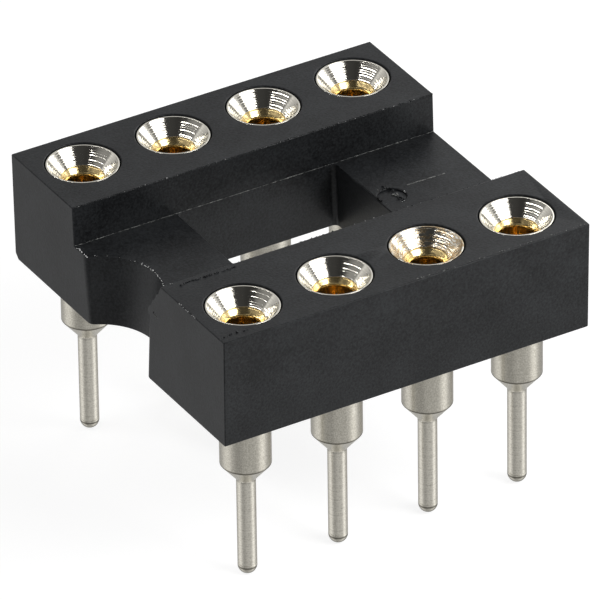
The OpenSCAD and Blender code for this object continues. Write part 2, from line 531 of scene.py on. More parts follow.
@dataclass(frozen=True)
class GoldPlate(Finish):
    """Bright gold plated over rolled spring metal.

    To the eye it is a deep yellow that goes amber where the clip sees only itself.
    """

    body: str = "#ecd297"
    grain_mm: float = 0.09
    rough: tuple[float, float] = (0.11, 0.27)       # where the grain is low, and high
    relief_mm: float = 0.004

    def material(self) -> bpy.types.Material:
        """Builds the material.

        Returns:
            The finish, ready for a mesh.
        """
        tree, place, made = self.start()
        grain = add(tree, "ShaderNodeTexNoise", sockets={
            "Vector": place, "Scale": 1 / (self.grain_mm * MM), "Detail": 2.0})
        rough = add(tree, "ShaderNodeMapRange", sockets={
            0: grain, "To Min": self.rough[0], "To Max": self.rough[1]})
        relief = add(tree, "ShaderNodeBump", sockets={
            "Height": grain, "Distance": self.relief_mm * MM, "Strength": 1.0})
        self.end(tree, {
            "Base Color": colour(self.body), "Metallic": 1.0, "Roughness": rough, "Normal": relief})
        return made


# Contacts

class Row(Enum):
    """The two rows of contacts, by the side of the socket that they stand on."""

    FRONT = -1
    FAR = 1


@dataclass(frozen=True)
class ContactPattern:
    """Where the contacts stand: along the front row from the notched end, then back."""

    per_row: int = 4
    pitch: float = 2.54
    row_spacing: float = 7.62
    scuffed: tuple[int, ...] = (3,)     # contacts whose funnel a lead has scraped
    opened: tuple[int, ...] = (2, 4)    # contacts whose clip a lead has pushed wider

    def row(self, n: int) -> Row:
        """Gives the row of contact n."""
        return Row.FRONT if n <= self.per_row else Row.FAR

    def place(self, n: int) -> Point:
        """Places a contact.

        Args:
            n: Number of the contact.

        Returns:
            Its axis, in millimetres, at the level of the tails' roots.
        """
        step = n - 1 if n <= self.per_row else 2 * self.per_row - n
        x = (step - (self.per_row - 1) / 2) * self.pitch
        return (x, self.row(n).value * self.row_spacing / 2, 0.0)


@dataclass(frozen=True)
class Turn:
    """One corner of a turned outline, and the tool marks on the way to the next one.

    radius and height place the corner, edge is its rounding, and marks and pitch are the
    depth and spacing of the rings cut between this corner and the next.
    """

    radius: float
    height: float
    edge: float = 0.0
    marks: float = 0.0
    pitch: float = 0.07


@dataclass
class Lathe:
    """Turns outlines to solids of revolution, as the real sleeves are turned."""

    segments: int = 96
    guide_r: float = 1.0        # radius of the circle that the outline is swept round
    edge_steps: int = 5
    ring_steps: int = 7         # points on each of the tool's rings
    slow_pitch: float = 1.7     # pitch of a slower wave among the rings, where theirs is 1
    slow_share: float = 0.6     # its depth, where theirs is 1
    slow_phase: tuple[float, float] = (2.3, 1.0)    # its phase is this many times theirs, and this more
    support: float = 0.008      # a point this far from each rounding keeps flat walls flat
    tree: bpy.types.NodeTree | None = None

    def outline(self, turns: Sequence[Turn], phase: float = 0.0, closed: bool = False) -> Outline:
        """Draws an outline with rounded corners and rippled walls.

        Args:
            turns: Corners in order, from the bottom outwards and up.
            phase: Shift of the tool marks, in radians, so that no two pieces are alike.
            closed: Whether the last corner runs back to the first.

        Returns:
            Points as radius and height.
        """
        count = len(turns)
        spots = [Vector((t.radius, t.height)) for t in turns]
        arcs: list[list[Vector]] = []
        for i, turn in enumerate(turns):
            inner = closed or 0 < i < count - 1
            if not inner or turn.edge == 0:
                arcs.append([spots[i]])
                continue
            back = (spots[i - 1] - spots[i]).normalized()
            ahead = (spots[(i + 1) % count] - spots[i]).normalized()
            half = back.angle(ahead) / 2
            reach = turn.edge / math.tan(half)
            centre = spots[i] + (back + ahead).normalized() * turn.edge / math.sin(half)
            first, last = spots[i] + back * reach - centre, spots[i] + ahead * reach - centre
            span = first.angle_signed(last)
            arcs.append([centre + Matrix.Rotation(-span * k / self.edge_steps, 2) @ first
                         for k in range(self.edge_steps + 1)])
        points: Outline = []
        for i, arc in enumerate(arcs):
            points += [tuple(p) for p in arc]
            if i == count - 1 and not closed:
                break
            points += self.wall(arc[-1], arcs[(i + 1) % count][0], turns[i], phase)
        return points

    def wall(self, start: Vector, end: Vector, turn: Turn, phase: float) -> Outline:
        """Draws the points between two corners, with the tool's rings.

        Args:
            start: End of the first corner's rounding.
            end: Start of the next corner's rounding.
            turn: Corner that says how deep and how close the rings are.
            phase: Shift of the rings, in radians.

        Returns:
            Points between the two, without either end.
        """
        along = end - start
        length = along.length
        if length < 4 * self.support:
            return []
        along.normalize()
        across = Vector((along.y, -along.x))
        if not turn.marks:
            return [tuple(start + along * self.support), tuple(end - along * self.support)]
        steps = max(4, round(length / turn.pitch * self.ring_steps))
        points = [tuple(start + along * self.support)]
        for k in range(1, steps):
            s = length * k / steps
            if not self.support < s < length - self.support:
                continue
            fade = min(1.0, s / turn.pitch, (length - s) / turn.pitch)
            times, more = self.slow_phase
            wave = (math.sin(math.tau * s / turn.pitch + phase) + self.slow_share * math.sin(
                math.tau * s / (turn.pitch * self.slow_pitch) + times * phase + more))
            depth = turn.marks * fade * (wave / (2 * (1 + self.slow_share)) - 0.5)
            points.append(tuple(start + along * s + across * depth))
        return points + [tuple(end - along * self.support)]

    def nodes(self) -> bpy.types.NodeTree:
        """Builds the lathe's tree once: the outline is swept round a circle and set in place.

        Returns:
            The geometry tree.
        """
        if self.tree is None:
            tree, given = sizes_tree(
                "turned_round", Segments="Int", Guide="Float", Centre="Vector", Finish="Material")
            inward = add(tree, "ShaderNodeMath", {"operation": "MULTIPLY"}, {0: given["Guide"], 1: -1.0})
            shift = add(tree, "ShaderNodeCombineXYZ", sockets={0: inward})
            line = add(tree, "GeometryNodeMeshToCurve", sockets={0: given[0]})
            moved = add(tree, "GeometryNodeTransform", sockets={"Geometry": line, "Translation": shift})
            circle = add(tree, "GeometryNodeCurvePrimitiveCircle", sockets={
                "Resolution": given["Segments"], "Radius": given["Guide"]})
            swept = add(tree, "GeometryNodeCurveToMesh", sockets={
                "Curve": circle, "Profile Curve": moved})
            placed = add(tree, "GeometryNodeTransform", sockets={
                "Geometry": swept, "Translation": given["Centre"]})
            self.tree = close_tree(tree, placed, given["Finish"])
        return self.tree

    def turned(self, points: Outline, centre: Point, finish: bpy.types.Material,
               closed: bool = False) -> bpy.types.Mesh:
        """Turns an outline about a contact's axis.

        Args:
            points: Outline as radius and height.
            centre: Where the axis stands.
            finish: Material of the piece.
            closed: Whether the outline closes on itself, as a ring's does.

        Returns:
            The solid, smooth shaded.
        """
        source = path_mesh([(r, -z, 0.0) for r, z in points], closed)
        return smooth(grow(self.nodes(), source, {
            "Segments": self.segments, "Guide": self.guide_r * MM,
            "Centre": scaled(centre)[:], "Finish": finish}))


@dataclass
class TurnedSleeve:
    """One turned contact sleeve, from its round tail tip up to the funnel and down the bore."""

    tail_r: float = 0.24
    tail_len: float = 2.7
    tail_rings: tuple[float, float] = (0.0012, 0.06)        # depth and pitch of the tool's rings
    groove: tuple[float, float, float] = (0.012, 0.02, 0.025)   # depth, and reach below and above
    groove_up: float = 0.05     # from the tip's round part
    edge: float = 0.01          # roundings
    soft_edge: float = 0.02
    stem_edge: float = 0.012
    cone_edge: float = 0.05
    stem_r: float = 0.63
    stem_z: float = 0.47
    land_r: float = 0.69
    land_z: float = 2.88
    flange_r: float = 0.90
    flange_z: float = 4.38
    rim_z: float = 4.84
    rim_w: float = 0.04
    funnel_z: float = 4.48
    bore_r: float = 0.53
    bore_z: float = 1.58
    drill_z: float = 1.262
    funnel_rings: tuple[float, float] = (0.0029, 0.062)
    ring_shift: float = 1.9     # radians by which each sleeve's rings are shifted
    tip_steps: int = 14

    def turns(self) -> list[Turn]:
        """Lists the sleeve's corners.

        Returns:
            The corners above the round tip, going up the outside and down the bore.
        """
        depth, below, above = self.groove
        groove_z = self.tail_r - self.tail_len + self.groove_up
        return [
            Turn(self.tail_r, groove_z - below),
            Turn(self.tail_r - depth, groove_z),
            Turn(self.tail_r, groove_z + above, self.edge, *self.tail_rings),
            Turn(self.tail_r, 0.0, self.cone_edge),
            Turn(self.stem_r, self.stem_z, self.stem_edge),
            Turn(self.stem_r, self.land_z, self.edge),
            Turn(self.land_r, self.land_z, self.soft_edge),
            Turn(self.land_r, self.flange_z, self.edge),
            Turn(self.flange_r, self.flange_z, self.soft_edge),
            Turn(self.flange_r, self.rim_z, self.edge),
            Turn(self.flange_r - self.rim_w, self.rim_z, self.edge, *self.funnel_rings),
            Turn(self.bore_r, self.funnel_z, self.soft_edge),
            Turn(self.bore_r, self.bore_z),
            Turn(0.0, self.drill_z)]

    def build(self, n: int, centre: Point, lathe: Lathe, finish: bpy.types.Material) -> bpy.types.Object:
        """Turns one sleeve and puts it in the scene.

        Args:
            n: Number of the contact.
            centre: Where its axis stands.
            lathe: Lathe that turns it.
            finish: Its tin plate.

        Returns:
            The finished piece.
        """
        low = self.tail_r - self.tail_len
        tip = [(self.tail_r * math.sin(t), low - self.tail_r * math.cos(t))
               for t in (math.pi / 2 * k / self.tip_steps for k in range(self.tip_steps + 1))]
        tip[0] = (0.0, tip[0][1])
        body = lathe.outline(self.turns(), phase=self.ring_shift * n)
        mesh = lathe.turned(tip + body, centre, finish)
        return piece(f"turned_sleeve_{n}", mesh, "tin_plate", f"sleeve_{n}")


@dataclass
class SpringClip:
    """One spring clip: a collar with a lead-in, and fingers that close in, grip and flare."""

    sheet: float = 0.08         # thickness of the fingers down to the grip
    tip: float = 0.06           # and where they flare
    collar_r: float = 0.53
    rim_w: float = 0.02
    throat_r: float = 0.38
    clip_z: float = 4.46
    lead_in: float = 0.14
    lead_edge: float = 0.18     # roundings: of the lead-in, the rim, the collar's outer edge and its foot
    rim_edge: float = 0.025
    outer_edge: float = 0.005
    foot_edge: float = 0.01
    collar_z: float = 3.86
    grip_r: float = 0.18
    grip_z: float = 2.71
    flare_z: float = 2.41
    end_z: float = 2.21
    flare_out: float = 0.06
    slot_w: float = 0.1
    fingers: int = 4
    finger_steps: int = 8
    tree: bpy.types.NodeTree | None = None

    def nodes(self) -> bpy.types.NodeTree:
        """Builds the tree that repeats one finger round the clip's axis.

        Returns:
            The geometry tree.
        """
        if self.tree is None:
            tree, given = sizes_tree("fingers_round", Fingers="Int", Centre="Vector", Finish="Material")
            spots = add(tree, "GeometryNodePoints", sockets={
                "Count": given["Fingers"], "Position": given["Centre"]})
            index = add(tree, "GeometryNodeInputIndex")
            share = add(tree, "ShaderNodeMath", {"operation": "DIVIDE"}, {0: index, 1: given["Fingers"]})
            turn = add(tree, "ShaderNodeMath", {"operation": "MULTIPLY"}, {0: share, 1: math.tau})
            spin = add(tree, "ShaderNodeCombineXYZ", sockets={2: turn})
            round_axis = add(tree, "GeometryNodeInstanceOnPoints", sockets={
                "Points": spots, "Instance": given[0], "Rotation": spin})
            self.tree = close_tree(tree, round_axis, given["Finish"])
        return self.tree

    def finger(self) -> bpy.types.Mesh:
        """Builds one finger about the clip's axis, with straight sides along its slots.

        Returns:
            A closed shell, in metres.
        """
        stations = [(self.throat_r, self.throat_r + self.sheet, self.collar_z),
                    (self.grip_r, self.grip_r + self.sheet, self.grip_z),
                    (self.grip_r, self.grip_r + self.tip, self.flare_z),
                    (self.grip_r + self.flare_out, self.grip_r + self.flare_out + self.tip, self.end_z)]
        bm = bmesh.new()
        grid: list[list[list[bmesh.types.BMVert]]] = []
        for inner, outer, z in stations:
            level = []
            for r in (inner, outer):
                half = math.pi / self.fingers - math.asin(self.slot_w / 2 / r)
                level.append([bm.verts.new(scaled((r * math.cos(t), r * math.sin(t), z))) for t in
                              (half * (2 * k / self.finger_steps - 1) for k in range(self.finger_steps + 1))])
            grid.append(level)
        for low, high in zip(grid, grid[1:]):
            for side in (0, 1):
                for k in range(self.finger_steps):
                    bm.faces.new((low[side][k], low[side][k + 1], high[side][k + 1], high[side][k]))
            for k in (0, self.finger_steps):
                bm.faces.new((low[0][k], low[1][k], high[1][k], high[0][k]))
        for level in (grid[0], grid[-1]):
            for k in range(self.finger_steps):
                bm.faces.new((level[0][k], level[0][k + 1], level[1][k + 1], level[1][k]))
        return mesh_of(bm, "finger")

    def build(self, n: int, centre: Point, lathe: Lathe, finish: bpy.types.Material) -> bpy.types.Object:
        """Forms one clip and puts it in the scene.

        Args:
            n: Number of the contact.
            centre: Where its axis stands.
            lathe: Lathe that draws its collar.
            finish: Its gold plate.

        Returns:
            The finished piece.
        """
        ring = lathe.outline([
            Turn(self.throat_r, self.collar_z, self.foot_edge),
            Turn(self.collar_r, self.collar_z, self.foot_edge),
            Turn(self.collar_r, self.clip_z, self.outer_edge),
            Turn(self.collar_r - self.rim_w, self.clip_z, self.rim_edge),
            Turn(self.throat_r, self.clip_z - self.lead_in, self.lead_edge)], closed=True)
        collar = lathe.turned(ring, centre, finish, closed=True)
        fingers = smooth(grow(self.nodes(), self.finger(), {
            "Fingers": self.fingers, "Centre": scaled(centre)[:], "Finish": finish}))
        return piece(f"spring_clip_{n}", joined([collar, fingers], finish), "gold_plate", f"clip_{n}")


# Insulator

@dataclass(frozen=True)
class Scar:
    """A stretch of the moulding with crumbs on it; its sizes are in millimetres."""

    path: Trail
    spacing: float      # between the places where a crumb may lie
    size: float         # largest half size of a crumb
    scatter: float      # how far a crumb may lie off the path
    share: float        # part of the places that have a crumb
    seed: int


@dataclass
class RaggedEdge:
    """Small torn crumbs and thin flash along an edge of the moulding."""

    crumb_least: Point = (0.45, 0.45, 0.3)  # length, width and height of a crumb, as parts of its size
    crumb_most: Point = (1.7, 1.0, 0.8)
    flash_step: float = 0.02    # distance between the places where the flash changes its width
    flash_noise: tuple[float, float] = (0.38, 0.68)     # the noise where it is thinnest, and full
    flash_least: float = 0.1    # its thinnest width, as a part of the full one
    flash_sides: int = 5
    crumb_tree: bpy.types.NodeTree | None = None
    flash_tree: bpy.types.NodeTree | None = None

    def crumb_nodes(self) -> bpy.types.NodeTree:
        """Builds the tree that scatters crumbs along a path.

        Returns:
            The geometry tree.
        """
        if self.crumb_tree is None:
            tree, given = sizes_tree(
                "torn_crumbs", Spacing="Float", Size="Float", Scatter="Float", Share="Float", Seed="Int",
                Finish="Material")
            line = add(tree, "GeometryNodeMeshToCurve", sockets={0: given[0]})
            even = add(tree, "GeometryNodeResampleCurve", {"mode": "LENGTH"}, {
                "Curve": line, "Length": given["Spacing"]})
            drift = add(tree, "FunctionNodeRandomValue", {"data_type": "FLOAT_VECTOR"}, {
                "Min": (-1.0, -1.0, -1.0), "Max": (1.0, 1.0, 1.0), "Seed": given["Seed"]})
            away = add(tree, "ShaderNodeVectorMath", {"operation": "SCALE"}, {
                0: drift, "Scale": given["Scatter"]})
            loose = add(tree, "GeometryNodeSetPosition", sockets={"Geometry": even, "Offset": away})
            shape = add(tree, "FunctionNodeRandomValue", {"data_type": "FLOAT_VECTOR"}, {
                "Min": self.crumb_least, "Max": self.crumb_most, "Seed": given["Seed"]})
            size = add(tree, "ShaderNodeVectorMath", {"operation": "SCALE"}, {
                0: shape, "Scale": given["Size"]})
            spin = add(tree, "FunctionNodeRandomValue", {"data_type": "FLOAT_VECTOR"}, {
                "Max": (6.28, 6.28, 6.28), "Seed": given["Seed"]})     # any turn, in radians
            kept = add(tree, "FunctionNodeRandomValue", {"data_type": "BOOLEAN"}, {
                "Probability": given["Share"], "Seed": given["Seed"]})
            crumb = add(tree, "GeometryNodeMeshIcoSphere", sockets={"Radius": 1.0, "Subdivisions": 1})
            strewn = add(tree, "GeometryNodeInstanceOnPoints", sockets={
                "Points": loose, "Selection": kept.outputs[3], "Instance": crumb,
                "Rotation": spin, "Scale": size})
            self.crumb_tree = close_tree(tree, strewn, given["Finish"])
        return self.crumb_tree

    def flash_nodes(self) -> bpy.types.NodeTree:
        """Builds the tree that draws a thin, uneven thread of flash along a path.

        Returns:
            The geometry tree.
        """
        if self.flash_tree is None:
            tree, given = sizes_tree(
                "mould_flash", Width="Float", Grain="Float", Step="Float", Finish="Material")
            line = add(tree, "GeometryNodeMeshToCurve", sockets={0: given[0]})
            even = add(tree, "GeometryNodeResampleCurve", {"mode": "LENGTH"}, {
                "Curve": line, "Length": given["Step"]})
            fine = add(tree, "ShaderNodeMath", {"operation": "DIVIDE"}, {0: 1.0, 1: given["Grain"]})
            noise = add(tree, "ShaderNodeTexNoise", sockets={"Scale": fine, "Detail": 2.0})
            bare = add(tree, "ShaderNodeMapRange", sockets={
                0: noise, "From Min": self.flash_noise[0], "From Max": self.flash_noise[1],
                "To Min": self.flash_least, "To Max": 1.0})
            width = add(tree, "ShaderNodeMath", {"operation": "MULTIPLY"}, {0: bare, 1: given["Width"]})
            profile = add(tree, "GeometryNodeCurvePrimitiveCircle", sockets={
                "Resolution": self.flash_sides, "Radius": 1.0})
            thread = add(tree, "GeometryNodeCurveToMesh", sockets={
                "Curve": even, "Profile Curve": profile, "Scale": width, "Fill Caps": True})
            self.flash_tree = close_tree(tree, thread, given["Finish"])
        return self.flash_tree

    def crumbs(self, scar: Scar, finish: bpy.types.Material) -> bpy.types.Mesh:
        """Strews a scar's crumbs along its path, and gives them in place."""
        return grow(self.crumb_nodes(), path_mesh(scar.path), {
            "Spacing": scar.spacing * MM, "Size": scar.size * MM, "Scatter": scar.scatter * MM,
            "Share": scar.share, "Seed": scar.seed, "Finish": finish})

    def flash(self, path: Trail, finish: bpy.types.Material, width: float, grain: float) -> bpy.types.Mesh:
        """Draws flash along a path.

        Args:
            path: Points of the path, in millimetres.
            finish: Material of the flash.
            width: Largest half width.
            grain: Length over which the width changes.

        Returns:
            The flash, in place.
        """
        return grow(self.flash_nodes(), path_mesh(path), {
            "Width": width * MM, "Grain": grain * MM, "Step": self.flash_step * MM, "Finish": finish})


@dataclass
class Insulator:
    """The moulded frame, and what the mould and handling left on its edges."""

    half_len: float = 5.08
    half_wid: float = 5.08
    channel_y: float = 2.10
    channel_foot_y: float = 2.06
    bar_z: float = 3.82
    top_z: float = 4.87
    bar_lean: float = 0.002     # how far the end faces lean in at the level of the bars
    notch: tuple[float, float] = (-5.63, 1.6)       # x of its middle, and radius
    mark: tuple[float, float] = (2.62, 0.36)        # the same of the ejector pin's mark
    edge_r: float = 0.03
    edge_steps: int = 3
    sharp: float = 25.0         # degrees from which an edge is rounded
    flat: float = 0.3           # degrees below which two faces are one
    soft: float = 45.0          # degrees below which an edge is shaded smooth
    broad: float = 0.8          # two faces larger than this, in square mm, meet in a crisp edge
    web_w: float = 0.09         # thickness of the web of flash beside the notch
    web_y: float = -1.5         # where it ends, on the notch's lip
    web_drop: float = 0.05      # how far below the rail's top it starts
    web_rise: float = 0.15      # how far above the bar it ends
    web_sunk: tuple[float, float] = (0.02, 0.03)    # how far it goes into the bar, and the rail
    web_jag: tuple[float, float] = (0.02, 2.4)      # depth of its jags, and their turn in radians a step
    end_gap: float = 0.03       # what lies along a rail stops this far from its ends
    lip: tuple[float, float] = (0.01, 0.012)    # how far crumbs lie inside a face, and below the channel's top
    crack: tuple[tuple[float, float], ...] = (      # x and y on the near rail's top
        (-4.67, -2.315), (-4.32, -2.24), (-4.17, -2.28), (-3.8, -2.265), (-3.51, -2.29), (-3.1, -2.265))
    scratch: tuple[tuple[float, float], ...] = ((-5.0, -4.86), (-4.65, -4.8), (-4.3, -4.86))
    outer_x: tuple[float, float] = (0.2, 5.0)       # where the near rail's outer edge is rubbed
    outer_in: float = 0.05      # how far in from its side, for the wall leans in
    end_y: tuple[float, float] = (-2.95, -3.75)     # where the near rail's end is torn
    corner_y: tuple[float, float] = (1.95, 1.45)    # where the notched bar's end is torn
    bar_flash: tuple[tuple[float, float], ...] = ((3.2, 0.24), (4.27, 0.22))    # x and y on the other bar
    nick: tuple[tuple[float, float], ...] = ((-1.76, 3.96), (-1.9, 3.9))    # y and z on the web's edge
    mark_specks: tuple[Trail, Trail] = (            # pale specks in the ejector pin's mark
        ((2.70, 0.09, 3.785), (2.76, 0.0, 3.785)), ((2.47, 0.40, 3.81), (2.47, 0.36, 3.81)))
    mark_patches: tuple[Trail, Trail] = (           # and its rough dark patches
        ((2.62, 0.42, 3.78), (2.78, 0.2, 3.775)), ((2.74, -0.06, 3.775), (2.8, -0.3, 3.775)))
    ragged: RaggedEdge = field(default_factory=RaggedEdge)

    def build(self, node: bpy.types.Object, finish: bpy.types.Material) -> bpy.types.Object:
        """Copies the CAD housing, softens its edges and puts the copy in the scene.

        Args:
            node: The CAD node, which isn't changed.
            finish: The moulded plastic.

        Returns:
            The finished piece.
        """
        bm = bmesh.new()
        bm.from_mesh(node.data)
        bmesh.ops.remove_doubles(bm, verts=bm.verts, dist=WELD * MM)
        bmesh.ops.dissolve_limit(bm, angle_limit=math.radians(self.flat), verts=bm.verts, edges=bm.edges)
        bm.normal_update()
        ridges = [e for e in bm.edges if e.calc_face_angle_signed(0.0) > math.radians(self.sharp)]
        rounded = set(bmesh.ops.bevel(bm, geom=ridges, offset=self.edge_r * MM, segments=self.edge_steps,
                                      profile=0.5, affect="EDGES", clamp_overlap=False)["faces"])
        for edge in bm.edges:
            broad = min(f.calc_area() for f in edge.link_faces) > self.broad * MM * MM
            flat_pair = broad and not rounded.intersection(edge.link_faces)
            edge.smooth = edge.calc_face_angle(0.0) < math.radians(self.flat if flat_pair else self.soft)
        for face in bm.faces:
            face.smooth = True
        carrier = put("housing_copy", mesh_of(bm, "housing_copy", finish))
        carrier.modifiers.new("Weighted Normal", "WEIGHTED_NORMAL").keep_sharp = True
        return piece("moulded_insulator", applied(carrier), "moulded_polyester", "housing")

    def arc(self, x: float, r: float, first: float, last: float, steps: int = 20) -> list[Point]:
        """Gives points on the end bars' tops, along an arc between two angles in degrees."""
        angles = (math.radians(first + (last - first) * k / steps) for k in range(steps + 1))
        return [(x + r * math.cos(t), r * math.sin(t), self.bar_z) for t in angles]

    def web(self, finish: bpy.types.Material, steps: int = 9) -> bpy.types.Mesh:
        """Builds the web of flash that fills the corner beside the notch, on the front rail's side.

        Args:
            finish: Plastic of the moulding.
            steps: Number of steps along the ragged edge.

        Returns:
            A closed thin plate, flush with the end face.
        """
        foot, back = self.bar_z - self.web_sunk[0], self.channel_y + self.web_sunk[1]
        high = Vector((-back, self.top_z - self.web_drop))
        low = Vector((self.web_y, self.bar_z + self.web_rise))
        depth, turn = self.web_jag
        torn_edge = [high.lerp(low, k / steps) + Vector((depth, depth)) * math.sin(turn * k) * (0 < k < steps)
                     for k in range(steps + 1)]
        ring = [Vector((-back, foot)), *torn_edge, Vector((self.web_y, foot))]
        outer = self.half_len - self.bar_lean
        bm = bmesh.new()
        sides = [[bm.verts.new(scaled((inset - outer, *spot))) for spot in ring]
                 for inset in (0.0, self.web_w)]
        bm.faces.new(sides[0])
        bm.faces.new(sides[1][::-1])
        for k in range(len(ring)):
            nxt = (k + 1) % len(ring)
            bm.faces.new((sides[0][nxt], sides[0][k], sides[1][k], sides[1][nxt]))
        bmesh.ops.recalc_face_normals(bm, faces=bm.faces)
        return mesh_of(bm, "web", finish)

    def dress(self, torn: bpy.types.Material, rubbed_and_highlit: bpy.types.Material,
              skin: bpy.types.Material) -> list[bpy.types.Object]:
        """Adds the flash, nicks and crumbs that the real moulding shows.

        Args:
            torn: Finish of torn plastic.
            rubbed_and_highlit: Finish of the thin flash where the mould's halves met. Along the
            far wall's foot its pale colour is partly a painted highlight.
            skin: Finish of the moulding itself.

        Returns:
            The pieces.
        """
        end, bar_end = self.half_len - self.end_gap, self.half_len - self.bar_lean
        inside, below = self.lip
        # the pale thread along the far wall's foot is mould flash, and its pale colour is partly a painted
        # highlight of the light that the ledge there catches
        wall_flash_highlight = [(x, self.channel_foot_y, self.bar_z) for x in (-end, end)]
        far_edge, front_edge = (
            [(x, side * (self.channel_y + inside), self.top_z - below) for x in (-end, end)]
            for side in (1, -1))
        outer_edge = [(x, -self.half_wid + self.outer_in, self.top_z - inside) for x in self.outer_x]
        end_edge = [(-self.half_len + inside, y, self.top_z - inside) for y in self.end_y]
        corner = [(-bar_end + 2 * inside, y, self.bar_z) for y in self.corner_y]
        nick = [(-bar_end, y, z) for y, z in self.nick]
        crack, scratch, bar_line = ([(x, y, z) for x, y in trail] for trail, z in (
            (self.crack, self.top_z), (self.scratch, self.top_z), (self.bar_flash, self.bar_z)))
        made = self.ragged
        pale = joined([made.crumbs(scar, torn) for scar in (
            Scar(crack, 0.04, 0.012, 0.02, 0.1, 29),
            Scar(end_edge, 0.03, 0.016, 0.012, 0.45, 31),
            Scar(self.arc(*self.notch, -42, 18, 16), 0.035, 0.018, 0.012, 0.55, 3),
            Scar(self.arc(*self.notch, -62, 62, 40), 0.06, 0.010, 0.008, 0.3, 5),
            Scar(corner, 0.03, 0.022, 0.015, 0.6, 7),
            Scar(far_edge, 0.05, 0.010, 0.012, 0.25, 11),
            Scar(front_edge, 0.06, 0.010, 0.012, 0.15, 13),
            Scar(self.arc(*self.mark, -160, 60), 0.05, 0.014, 0.02, 0.3, 17))], torn)
        line = joined([
            made.flash(wall_flash_highlight, rubbed_and_highlit, 0.014, 0.11),
            made.crumbs(Scar(outer_edge, 0.03, 0.02, 0.018, 0.4, 67), rubbed_and_highlit),
            made.flash(bar_line, rubbed_and_highlit, 0.024, 0.2),
            made.crumbs(Scar(nick, 0.02, 0.024, 0.02, 0.9, 37), rubbed_and_highlit),
            made.crumbs(Scar(self.mark_specks[0], 0.03, 0.04, 0.02, 0.9, 41), rubbed_and_highlit),
            made.crumbs(Scar(self.mark_specks[1], 0.02, 0.024, 0.012, 0.9, 61), rubbed_and_highlit)], rubbed_and_highlit)
        dark = joined([self.web(skin)] + [made.crumbs(scar, skin) for scar in (
            Scar(scratch, 0.035, 0.03, 0.012, 0.6, 71),
            Scar(crack, 0.03, 0.034, 0.006, 0.7, 43),
            Scar(self.arc(*self.mark, 60, 200), 0.03, 0.024, 0.02, 0.35, 47),
            Scar(self.mark_patches[0], 0.014, 0.032, 0.06, 0.9, 53),
            Scar(self.mark_patches[1], 0.014, 0.030, 0.05, 0.9, 59),
            Scar(far_edge, 0.035, 0.026, 0.008, 0.6, 19),
            Scar(front_edge, 0.045, 0.02, 0.008, 0.4, 23))], skin)
        return [piece(name, mesh, "moulded_polyester") for name, mesh in (
            ("torn_edges", pale), ("flash_line", line), ("rough_edges", dark))]


# Studio

@dataclass(frozen=True)
class Softbox:
    """One lamp, placed by its angles from the camera's side of the object."""

    name: str
    side: float                 # degrees to the camera's right
    height: float               # degrees above the horizon
    width_mm: float
    depth_mm: float
    level: float                # brightness of its face, where 1 is white
    reach_mm: float = 220.0     # from the object's middle
    lean: float = 0.0           # degrees that its right end is raised


@dataclass(frozen=True)
class Patch:
    """A round patch of the tent's wall that is darker or paler than the rest."""

    side: float                 # degrees to the camera's right
    height: float               # degrees above the horizon
    radius: float               # in degrees
    share: float                # of the wall's light


